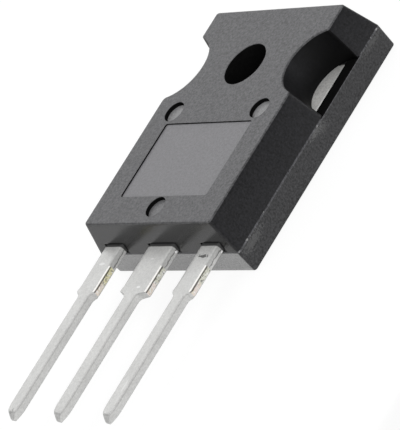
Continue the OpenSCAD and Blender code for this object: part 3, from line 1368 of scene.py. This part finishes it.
    def _rows(self, half: Half) -> Array:
        """The wall of one mould half, from the seam to a support ring on its level face.

        The wall leans in by the height times the slope, and then an arc from that lean to the level
        rounds the edge. Outside the notches it stands back from the seam, apart from the flash.

        Args:
            half: the mould half.

        Returns:
            The points, (rows, columns, 3), for the whole outline.
        """
        lean = np.radians(self._leans(half))
        levels = self.plate.thick + half.way * np.array(half.levels)
        straight = np.repeat(levels[:, None], len(lean), axis=1)
        turn = lean + (np.pi / 2 - lean) * np.linspace(0, 1, self.BEND)[:, None]
        bend = half.face_z - half.way * half.edge * (1 - np.sin(turn))
        pull = half.edge * (np.cos(lean) - np.cos(turn) - (np.sin(turn) - np.sin(lean)) * np.tan(lean))
        z = np.concatenate([straight, bend, bend[-1:]])
        inset = np.concatenate([np.zeros_like(straight), pull, pull[-1:] + self.support])
        points, inward = self._half_plan(z, half.notched)
        spans = self._spans()
        low, high = spans["mouth_low"], spans["mouth_high"]
        outer, ridge = np.ones(len(lean)), self._ridge(len(lean))
        if half.notched:
            outer[low.stop:high.start] = 0.0
            outer[low] = np.linspace(1, 0, low.stop - low.start, endpoint=False)
            outer[high] = np.linspace(0, 1, high.stop - high.start, endpoint=False)
        ridge[low.start:high.stop] = 0.0
        inset += self.seam_inset * outer
        inset[0] -= ridge
        lead_end = slice(0, spans["out"].stop)
        inset[:, lead_end] += self._rim(points[:, lead_end, 0], z[:, lead_end])
        right = np.concatenate([points + inward * inset[..., None], z[..., None]], axis=-1)
        left = right[:, -2:0:-1] * np.array([-1.0, 1.0, 1.0])
        return np.concatenate([right, left], axis=1)

    def _exit_faces(self, points: Array) -> Array:
        """Which faces of the lead end lie in the ring close round a lead that gets painted shade.

        Args:
            points: the wall's points, (rows, columns, 3).

        Returns:
            True at each of them, (rows - 1, columns).
        """
        middle = (points[:-1] + np.roll(points[1:], -1, axis=1)) / 2
        ring = np.zeros(middle.shape[:2], bool)
        for centre, half in LEAD_EXITS:
            side = np.abs(middle[..., 0] - centre - self.exit_lean) - half
            ring |= (side < self.exit_gap) & (middle[..., 2] - LEAD_HIGH < self.exit_ring)
        ring[:self.FLASH_ROWS] = False
        return ring & (middle[..., 1] < -self.bottom + self.exit_reach)

    def _wall_marks(self, points: Array, half: Half) -> Array:
        """The zone of each face of a mould half's wall, from the seam to its level face.

        Args:
            points: the wall's points, (rows, columns, 3).
            half: the mould half.

        Returns:
            Zone numbers, (rows - 1, columns).
        """
        spans = self._spans()
        low, high = spans["mouth_low"], spans["mouth_high"]
        wall, seam = (np.full(spans["end"].stop - 1, zone) for zone in (half.wall, Zone.FLASH))
        wall[:spans["out"].stop] = half.lead_wall
        if half.notched:
            wall[low.start + self.MOUTH_LOW:high.start + self.MOUTH_HIGH] = Zone.NOTCH
            seam[low.start:high.stop] = Zone.NOTCH
        marks = np.tile(np.concatenate([wall, wall[::-1]]), (len(points) - 1, 1))
        marks[:self.FLASH_ROWS] = np.concatenate([seam, seam[::-1]])
        if half.notched:
            marks[-self.BEND:-1] = Zone.EDGE
            marks[-1] = Zone.FACE
            # The ring close round each lead takes the painted shade of the notch walls.
            marks[self._exit_faces(points)] = Zone.NOTCH
        return marks

    def _recess(self, shell: Shell, outline: Outline, depth: float, floor: Zone) -> Array:
        """Sinks a shallow mark into the face and fills its floor.

        The wall's profile is a rounded edge, a straight wall and a rounded foot.

        Args:
            shell: where the patches go.
            outline: the mark's outline.
            depth: depth of the mark.
            floor: zone of its floor.

        Returns:
            The outermost loop, which the face is filled up to.
        """
        reach, face = self.mark_edge + self.mark_support, self.upper.face_z
        rounding = edge_round(self.mark_edge)
        foot = -rounding[::-1] - (0.0, depth)
        profile = np.concatenate([[(reach, 0.0)], rounding, foot, [(-reach, -depth)]])
        marks = [Zone.FACE] + [Zone.EDGE] * self.EDGE_ROWS + [Zone.RECESS] * self.MARK_ROWS + [floor]
        shell.grid(outline.sweep(profile + (0.0, face)), marks)
        shell.flat([outline.loop(-reach)], face - depth, True, floor)
        return outline.loop(reach)

    def _bore(self, shell: Shell) -> Array:
        """Adds the hole, the bottom of the moulded ring round it and the ring's outer wall.

        Args:
            shell: where the patches go.

        Returns:
            The surface's rows, from the face down to the ceiling over the heatsink.
        """
        face, back, ring = self.upper.face_z, self.lower.face_z, self.plate.ring_r
        flare = self.hole_r + self.hole_edge + self.support
        rounding = edge_round(self.hole_edge)
        rows = Circle(0.0, 0.0, 0.0).sweep(np.concatenate([
            [(flare, face)],
            rounding + (self.hole_r, face),
            [(self.hole_r, self.plate.thick)],
            rounding[::-1] * -MIRROR + (self.hole_r, back),
            [(flare, back), (ring - self.support, back), (ring, back), (ring, self.plate.thick)],
        ]))
        marks = [Zone.FACE] + [Zone.EDGE] * self.EDGE_ROWS + [Zone.RECESS] * self.BORE_ROWS
        shell.grid(rows, marks + [Zone.LOWER_SIDE] * (len(rows) - 1 - len(marks)))
        return rows

    def build(self, materials: dict[Zone, bpy.types.Material]) -> bpy.types.Object:
        """Builds the moulding as one closed shell.

        Args:
            materials: its finish, and those of the zones that have their own.

        Returns:
            The piece.
        """
        shell = Shell()
        upper, lower = self._rows(self.upper), self._rows(self.lower)
        shell.grid(upper, self._wall_marks(upper, self.upper))
        shell.grid(lower[::-1], self._wall_marks(lower, self.lower)[::-1])
        loops = [upper[-1, :, :2]]
        x, y, depth = self.pin_mark
        for side in Side:
            pin = Circle(side * x, y, self.mark_r, self.mark_points)
            loops.append(self._recess(shell, pin, depth, Zone.MARK_FLOOR))
        x, y, depth = self.mould_mark
        round_mark = Circle(x, y, self.mark_r, self.mark_points)
        loops.append(self._recess(shell, round_mark, depth, Zone.MOULD_FLOOR))
        loops.append(self._recess(shell, self.panel, self.panel_depth, Zone.PANEL))
        bore = self._bore(shell)
        shell.flat([*loops, bore[0, :, :2]], self.upper.face_z, True, Zone.FACE)
        reach = math.sqrt(self.notch_r**2 - (self.notch_x - self.plate.half_w) ** 2)
        pocket = self.plate.outline((-reach, reach))
        seam, back = self.plate.thick, self.lower.face_z
        shell.grid(pocket.sweep([(0.0, seam), (0.0, back)]), Zone.LOWER_SIDE)
        shell.flat([lower[-1, :, :2], pocket.loop()], back, False, Zone.LOWER_SIDE)
        self._close_seam(shell, upper[0, :, :2], lower[0, :, :2], pocket.loop(), bore[-1, :, :2])
        return shell.solid("moulded_body_skin", materials)

    def _close_seam(self, shell: Shell, upper: Array, lower: Array, pocket: Array, ring: Array) -> None:
        """Fills the two ledges in the notches and the ceiling over the heatsink, at the seam's height.

        Args:
            shell: where the patches go.
            upper: outline of the upper half at the seam, with the notches.
            lower: outline of the lower half at the seam.
            pocket: loop round the heatsink.
            ring: loop of the moulded ring round the hole.
        """
        spans, seam = self._spans(), self.plate.thick
        first, last = spans["mouth_low"].start, spans["upper"].start
        enter, leave = spans["arc"].start, spans["arc_high"].start
        ledge = np.concatenate([
            lower[first:last + 1], upper[leave:last][::-1], upper[first + 1:enter + 1][::-1],
        ])
        for side in reversed(Side):
            shell.flat([ledge * (side, 1.0)], seam, True, Zone.RECESS)
        bite = upper[enter:leave + 1]
        right = pocket[:len(pocket) // 2]
        near = np.flatnonzero(np.abs(np.abs(right[:, 1]) - abs(bite[0, 1])) < self.match_gap)
        half = np.concatenate([right[:near[0]], bite, right[near[-1] + 1:]])
        shell.flat([np.concatenate([half, half[::-1] * MIRROR]), ring], seam, False, Zone.LOWER_SIDE)


@dataclass(frozen=True)
class Section:
    """One key section across a lead, in millimetres.

    The place is counted out along -Y, the reaches are counted from the lead's middle line, and the
    roundings belong to the left top edge, the right top edge and the two bottom edges.
    """

    out: float
    left: float
    right: float
    left_low: float
    right_low: float
    low: float = LEAD_LOW
    high: float = LEAD_HIGH
    roll: float = 0.04
    ridge: float = 0.04
    under: float = 0.04
    shift: float = 0.0
    slant: float = 0.0

    @classmethod
    def even(cls, out: float, half: float, **more: float) -> "Section":
        """A section with the same reach on all sides."""
        return cls(out, half, half, half, half, **more)


class Lead:
    """One flat lead, carried along its length as a rounded section."""

    ARC: ClassVar[int] = 5
    SPOTS: ClassVar[int] = 2
    LEFT_STRIPS: ClassVar[int] = 3
    STEP: ClassVar[float] = 0.3
    FLATTEN: ClassVar[float] = 0.35
    GAP: ClassVar[float] = 0.02

    def __init__(self, centre: float, keys: list[Section]) -> None:
        """Keeps the lead's sections, evened out between the keys.

        Args:
            centre: place of the lead across the part.
            keys: its key sections, outwards.
        """
        self.centre = centre
        table = np.array([astuple(key) for key in keys])
        spread = np.arange(table[0, 0], table[-1, 0], self.STEP)
        self.out = np.unique(np.round(np.concatenate([table[:, 0], spread]), PLACE_DECIMALS))
        self.values = [np.interp(self.out, table[:, 0], column)[:, None] for column in table.T[1:]]

    def _rows(self) -> Array:
        """The sections as rows: P(s, u) is a rounded rectangle in u whose sides change with s.

        The left top edge is rolled over flatter than it is wide; the others are round.

        Returns:
            The points, (rows, columns, 3).
        """
        left, right, left_low, right_low, low, high, roll, ridge, under, shift, slant = self.values
        share, gap = np.linspace(0, 1, self.ARC), self.GAP
        fall = np.minimum(roll, np.maximum(roll * self.FLATTEN, gap))

        def corner(x: Array, z: Array, across: Array, upright: Array, start: float) -> Array:
            """A quarter ellipse: its centre plus its two radii times (cos, sin)."""
            turn = arc(0.0, 0.0, 1.0, start, start + 90, share)
            return np.stack([x + across * turn[:, 0], z + upright * turn[:, 1]], axis=-1)

        def spot(x: Array, z: Array) -> Array:
            """One point of each row."""
            return np.stack([x, z], axis=-1)

        section = np.concatenate([
            spot(-left_low + under + gap, low), spot(right_low - under - gap, low),
            corner(right_low - under, low + under, under, under, -90),
            spot(right_low, low + under + gap), spot(right, high - ridge - gap),
            corner(right - ridge, high - ridge, ridge, ridge, 0),
            spot(right - ridge - gap, high), spot(-left + roll + gap, high),
            corner(-left + roll, high - fall, roll, fall, 90),
            spot(-left, high - fall - gap), spot(-left_low, low + under + gap),
            corner(-left_low + under, low + under, under, under, 180),
        ], axis=1)
        y = -self.out[:, None] + slant * (right - section[..., 0])
        return np.stack([section[..., 0] + self.centre + shift, y, section[..., 1]], axis=-1)

    def add(self, shell: Shell, cut_from: float, cut_to: float) -> None:
        """Adds the lead to a shell, with the tie bar's sheared faces marked.

        Args:
            shell: where the patches go.
            cut_from: where the cut of the tie bar starts.
            cut_to: where it ends.
        """
        rows = self._rows()
        middle = (self.out[:-1] + self.out[1:]) / 2
        cut = (middle > cut_from) & (middle < cut_to)
        right = self.SPOTS + self.ARC - 1
        top = right + self.SPOTS + self.ARC
        left = top + self.ARC + 1
        across = np.zeros(rows.shape[1], bool)
        across[right:top] = True
        across[left:left + self.LEFT_STRIPS] = True
        shell.grid(rows, np.where(cut[:, None] & across, Skin.SHEARED, Skin.PLATED))
        shell.cap(rows[0], False, Skin.PLATED)
        shell.cap(rows[-1], True, Skin.PLATED)


@dataclass(frozen=True)
class LeadSizes:
    """Sizes that the three leads share, in millimetres out from the screw hole."""

    half: float = 0.6
    face: float = 14.9
    hidden: float = 0.4
    rolled_from: float = 0.2
    tie_from: float = 16.6
    tie_lead: float = 0.25
    tie_step: float = 0.015
    tie_to: float = 18.9
    tie_roll: float = 0.5
    tie_end: float = 0.12
    stub: float = 0.06
    torn_back: float = 0.02
    fillet: float = 0.4
    fillet_from: float = 0.04
    fillet_keys: int = 8
    shoulder: float = 0.14
    taper: float = 28.55
    tip: float = 29.85
    tip_keys: int = 9
    tip_left: float = 0.22
    tip_right: float = 0.3
    tip_high: float = 2.52
    tip_powers: Triple = (1.1, 1.3, 1.5)
    tip_fades: Triple = (0.3, 0.6, 0.5)
    bevel: float = 0.5
    slant: float = 0.12
    rolled: float = 0.24
    left_roll: float = 0.42
    narrow_roll: float = 0.2
    burnish: float = 0.14
    ridge: float = 0.12
    under: float = 0.1
    shifts: Triple = (0.09, -0.06, 0.04)
    post: float = 1.7
    post_lean: float = 0.25
    post_out: Pair = (12.55, 14.14)
    post_to: float = 14.15
    neck_out: Triple = (11.5, 11.9, 13.025)
    neck_z: Pair = (1.4, 2.05)

    def _broad(self, root: float) -> list[Section]:
        """The broad part, from inside the moulding to the end of the tie bar's cut.

        Args:
            root: half of its width.

        Returns:
            Its key sections, outwards.
        """
        rolled = {"roll": self.left_roll, "ridge": self.rolled, "under": self.under}
        sheared = {**rolled, "ridge": self.burnish}
        ending = {**sheared, "roll": self.narrow_roll}
        cut, inner = root + self.stub, root - self.stub
        return [
            Section.even(self.face - self.hidden, root),
            Section.even(self.face - self.rolled_from, root, **rolled),
            Section.even(self.tie_from - self.tie_lead, root, **rolled),
            Section.even(self.tie_from - self.tie_step, root, **rolled),
            Section(self.tie_from, root, cut, root, root, **sheared),
            Section(self.tie_to - self.tie_roll, root, cut, root, root, **sheared),
            Section(self.tie_to - self.tie_end, root, cut, root, root, **ending),
            Section(self.tie_to, inner, root, inner, inner + self.torn_back, **ending),
        ]

    def _narrow(self, shift: float) -> list[Section]:
        """The narrow part: a quarter-round fillet, a straight run and a tip whose sides curve in.

        Args:
            shift: how far it stands to the right of the broad part.

        Returns:
            Its key sections, outwards.
        """
        edges = {"roll": self.narrow_roll, "ridge": self.ridge, "under": self.under}
        share = np.linspace(self.fillet_from, 1, self.fillet_keys)
        half = self.half + self.fillet * (1 - np.sqrt(1 - (1 - share) ** 2))
        out = self.tie_to + self.shoulder + self.fillet * share
        keys = [Section.even(place, wide, **edges, shift=shift) for place, wide in zip(out, half)]
        share = np.linspace(0, 1, self.tip_keys)
        bend = 1 - np.cos(share * np.pi / 2)
        left_power, right_power, top_power = self.tip_powers
        left = self.half - (self.half - self.tip_left) * bend**left_power
        right = self.half - (self.half - self.tip_right) * bend**right_power
        out = self.taper + (self.tip - self.taper) * share
        fall = np.clip((out - (self.tip - self.bevel)) / self.bevel, 0, 1)
        top = LEAD_HIGH - (LEAD_HIGH - self.tip_high) * fall**top_power
        for o, a, b, high, e in zip(out, left, right, top, share):
            faded = {key: edges[key] * (1 - fade * e) for key, fade in zip(edges, self.tip_fades)}
            keys.append(Section(o, a, b, a, b, high=high, **faded, shift=shift, slant=self.slant * e**2))
        return keys

    def outer(self, side: Side) -> Lead:
        """An outer lead with the broad post inside the moulding that its wires land on.

        Args:
            side: the side of the part that it is on.

        Returns:
            The lead.
        """
        left, right = self.post + side * self.post_lean, self.post - side * self.post_lean
        keys = [Section(out, left, right, left, right) for out in self.post_out]
        keys += [Section.even(self.post_to, OUTER_ROOT), *self._broad(OUTER_ROOT)]
        return Lead(side * LEAD_PITCH, keys + self._narrow(self.shifts[1 + side]))

    def middle(self) -> Lead:
        """The middle lead with the neck that lifts it out of the heatsink.

        Returns:
            The lead.
        """
        low, high = self.neck_z
        keys = [Section.even(out, MIDDLE_ROOT, low=low, high=high) for out in self.neck_out[:2]]
        keys += [Section.even(self.neck_out[2], MIDDLE_ROOT), *self._broad(MIDDLE_ROOT)]
        return Lead(0.0, keys + self._narrow(self.shifts[1]))


@dataclass(frozen=True)
class Metalwork:
    """The heatsink with the middle lead, and the two outer leads."""

    leads: LeadSizes = LeadSizes()
    plate: Heatsink = Heatsink()

    def build(self, skins: dict[Skin, bpy.types.Material]) -> None:
        """Builds the three pieces and puts them in place of their solids.

        Args:
            skins: finishes of the leads, of the tie bar's cut faces and of the heatsink's plate.
        """
        cut = (self.leads.tie_from, self.leads.tie_to)
        own = {skin: skins[skin] for skin in (Skin.PLATED, Skin.SHEARED)}
        for side, node in ((Side.LEFT, "gate_lead"), (Side.RIGHT, "source_lead")):
            shell = Shell()
            self.leads.outer(side).add(shell, *cut)
            finish_piece(shell.solid(node + "_metal", own), node)
        shell = Shell()
        self.plate.add(shell)
        self.leads.middle().add(shell, *cut)
        finish_piece(shell.solid("drain_heatsink_metal", skins), "drain_heatsink")


@dataclass(frozen=True)
class Insides:
    """The chip, its solder and the wires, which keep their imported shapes."""

    chip: MetalFinish = MetalFinish("silicon", (0.16, 0.17, 0.22), 0.18, metallic=0.6)
    solder: MetalFinish = MetalFinish("soft_solder", (0.46, 0.46, 0.47), 0.4)
    wire: MetalFinish = MetalFinish("drawn_aluminium", (0.78, 0.79, 0.8), 0.28)

    def dress(self, effects: Effects) -> None:
        """Gives each carried-over node its finish.

        Args:
            effects: the shared groups.
        """
        made = {"silicon_die": self.chip.build(effects), "die_solder": self.solder.build(effects)}
        wire = self.wire.build(effects)
        for name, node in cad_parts.items():
            if node.hide_render:
                continue
            node.data.materials.clear()
            node.data.materials.append(made.get(name, wire))
            log.info("%s: dressed with %s", name, node.data.materials[0].name)


@dataclass(frozen=True)
class Lamp:
    """A soft rectangular lamp."""

    name: str
    place: Triple
    size: Pair
    power: float
    in_gloss: bool = False
    aim: Triple = (0.0, -0.01, 0.0)

    def build(self) -> None:
        """Puts the lamp in the scene, turned to the point that it shines at."""
        light = bpy.data.lights.new(self.name, "AREA")
        light.shape, light.energy = "RECTANGLE", self.power
        light.size, light.size_y = self.size
        made = bpy.data.objects.new(self.name, light)
        made.location = self.place
        turn = (Vector(self.aim) - Vector(self.place)).to_track_quat("-Z", "Y")
        made.rotation_euler = turn.to_euler()
        made.visible_camera, made.visible_glossy = False, self.in_gloss
        bpy.context.scene.collection.objects.link(made)


@dataclass(frozen=True)
class Card:
    """A card beside the object, as a photographer sets up to darken one side.

    It stands upright and faces an angle about z, or it lies level where its lean is a right angle.
    """

    name: str
    centre: Triple
    width: float
    height: float
    facing: float = 0.0
    tone: float = 0.02
    lean: float = 0.0

    def corners(self) -> list[tuple[float, ...]]:
        """Its corners: the centre, half of the width to either side and half of the height up or down.

        Returns:
            The four corners in order, in metres.
        """
        turn, lean, centre = math.radians(self.facing), math.radians(self.lean), Vector(self.centre)
        along = Vector((-math.sin(turn), math.cos(turn), 0.0)) * (self.width / 2)
        out = Vector((math.cos(turn), math.sin(turn), 0.0)) * math.sin(lean)
        lift = (out + Vector((0.0, 0.0, math.cos(lean)))) * (self.height / 2)
        return [tuple(centre + along * x + lift * y) for x, y in ((-1, -1), (1, -1), (1, 1), (-1, 1))]


@dataclass(frozen=True)
class Studio:
    """The pale floor, the white surroundings, the soft lamps, the dark cards and the camera."""

    floor_size: float = 3.0
    floor_z: float = -1e-5
    floor_tone: float = 0.5
    floor_white: float = 0.85
    gloss_white: float = 0.6
    floor_glow: float = 1.04
    ambient: float = 0.45
    lamps: tuple[Lamp, ...] = (
        Lamp("overhead_softbox", (-0.03, 0.0, 0.5), (0.3, 0.3), 0.38),
        Lamp("back_softbox", (-0.353, 0.168, 0.216), (0.48, 0.44), 0.7, True),
        Lamp("fill_softbox", (0.38, -0.15, 0.17), (0.3, 0.3), 1.45),
    )
    cards: tuple[Card, ...] = (
        Card("right_card", (0.12, 0.03, 0.025), 0.36, 0.05),
        Card("right_cloth", (0.075, 0.03, 0.0006), 0.3, 0.09, lean=90.0),
    )
    lens: float = 430.848
    sensor: float = 36.0
    clip: Pair = (0.01, 10.0)
    right: Triple = (0.620543, 0.483625, -0.617279)
    down: Triple = (-0.012298, -0.781074, -0.624318)
    forward: Triple = (-0.784076, 0.395007, -0.478742)
    place: Triple = (0.283309409, -0.153682621, 0.174508637)

    def build(self) -> None:
        """Sets up the whole studio."""
        self._floor()
        self._world()
        for lamp in self.lamps:
            lamp.build()
        for card in self.cards:
            self._card(card)
        self._camera()
        bpy.context.scene.view_settings.view_transform = "Standard"

    @staticmethod
    def _material(name: str) -> tuple[bpy.types.Material, Tree]:
        """A new material and its wiring.

        Args:
            name: name of the material.

        Returns:
            The material and its tree.
        """
        material = bpy.data.materials.new(name)
        material.use_nodes = True
        return material, Tree(material.node_tree)

    @staticmethod
    def _sheet(
        name: str, corners: list[tuple[float, ...]], material: bpy.types.Material
    ) -> bpy.types.Object:
        """A sheet of the studio, which isn't part of the object.

        Args:
            name: name of the sheet.
            corners: its four corners, in metres.
            material: its material.

        Returns:
            The object.
        """
        mesh = bpy.data.meshes.new(name)
        mesh.from_pydata(corners, [], [(0, 1, 2, 3)])
        mesh.materials.append(material)
        made = bpy.data.objects.new(name, mesh)
        bpy.context.scene.collection.objects.link(made)
        return made

    def _floor(self) -> None:
        """A pale matte floor that keeps the shadow.

        It reads as white round the object for rays from the camera, off gloss and through glass.
        """
        material, tree = self._material("pale_floor")
        matte = tree.node("ShaderNodeBsdfDiffuse", {0: rgba(grey(self.floor_tone))})
        paper = tree.node("ShaderNodeBsdfDiffuse", {0: WHITE})
        white = tree.node("ShaderNodeEmission", {0: WHITE, 1: self.floor_glow})
        path = tree.node("ShaderNodeLightPath").outputs
        seen = tree.math("MAXIMUM", path["Is Camera Ray"], path["Is Glossy Ray"])
        seen = tree.math("MAXIMUM", seen, path["Is Transmission Ray"])
        lift = self.floor_white - self.gloss_white
        share = tree.math("MULTIPLY_ADD", path["Is Camera Ray"], lift, self.gloss_white)
        pale = tree.node("ShaderNodeMixShader", {0: share, 1: paper.outputs[0], 2: white.outputs[0]})
        blend = tree.node("ShaderNodeMixShader", {0: seen, 1: matte.outputs[0], 2: pale.outputs[0]})
        tree.node("ShaderNodeOutputMaterial", {0: blend.outputs[0]})
        s, z = self.floor_size / 2, self.floor_z
        self._sheet("floor", [(-s, -s, z), (s, -s, z), (s, s, z), (-s, s, z)], material)

    def _world(self) -> None:
        """Soft even light from grey surroundings."""
        world = bpy.data.worlds.new("studio")
        bpy.context.scene.world = world
        world.use_nodes = True
        tree = Tree(world.node_tree)
        soft = tree.node("ShaderNodeBackground", {0: WHITE, 1: self.ambient})
        tree.node("ShaderNodeOutputWorld", {0: soft.outputs[0]})

    def _card(self, card: Card) -> None:
        """A card, left out of what the camera sees.

        Args:
            card: its place, size and tone.
        """
        material, tree = self._material(card.name)
        dark = tree.node("ShaderNodeBsdfDiffuse", {0: rgba(grey(card.tone))})
        tree.node("ShaderNodeOutputMaterial", {0: dark.outputs[0]})
        made = self._sheet(card.name, card.corners(), material)
        made.visible_camera = made.visible_shadow = False

    def _camera(self) -> None:
        """The camera that was fitted to the photograph."""
        data = bpy.data.cameras.new("camera")
        data.lens, data.sensor_width, data.sensor_fit = self.lens, self.sensor, "AUTO"
        data.clip_start, data.clip_end = self.clip
        made = bpy.data.objects.new("camera", data)
        turn = Matrix((self.right, [-v for v in self.down], [-v for v in self.forward])).transposed()
        made.matrix_world = Matrix.Translation(self.place) @ turn.to_4x4()
        bpy.context.scene.collection.objects.link(made)
        bpy.context.scene.camera = made


def main() -> None:
    """Builds the pieces, the finishes and the studio in order."""
    logging.basicConfig(level=logging.INFO, format="%(name)s: %(message)s")
    effects = Effects()
    body = Moulding().build({
        Zone.FACE: MouldingFinish().build(effects),
        # The recesses get their painted shade.
        Zone.RECESS: RecessShade().build(effects),
        # The notch walls and the rings round the leads get their painted shade.
        Zone.NOTCH: NotchShade().build(effects),
    })
    finish_piece(body, "moulded_body")
    Metalwork().build({
        Skin.PLATED: TinFinish().build(effects),
        Skin.SHEARED: CopperFinish().build(effects),
        Skin.PLATE: PlateFinish().build(effects),
    })
    Insides().dress(effects)
    Studio().build()


if __name__ == "__main__":
    main()
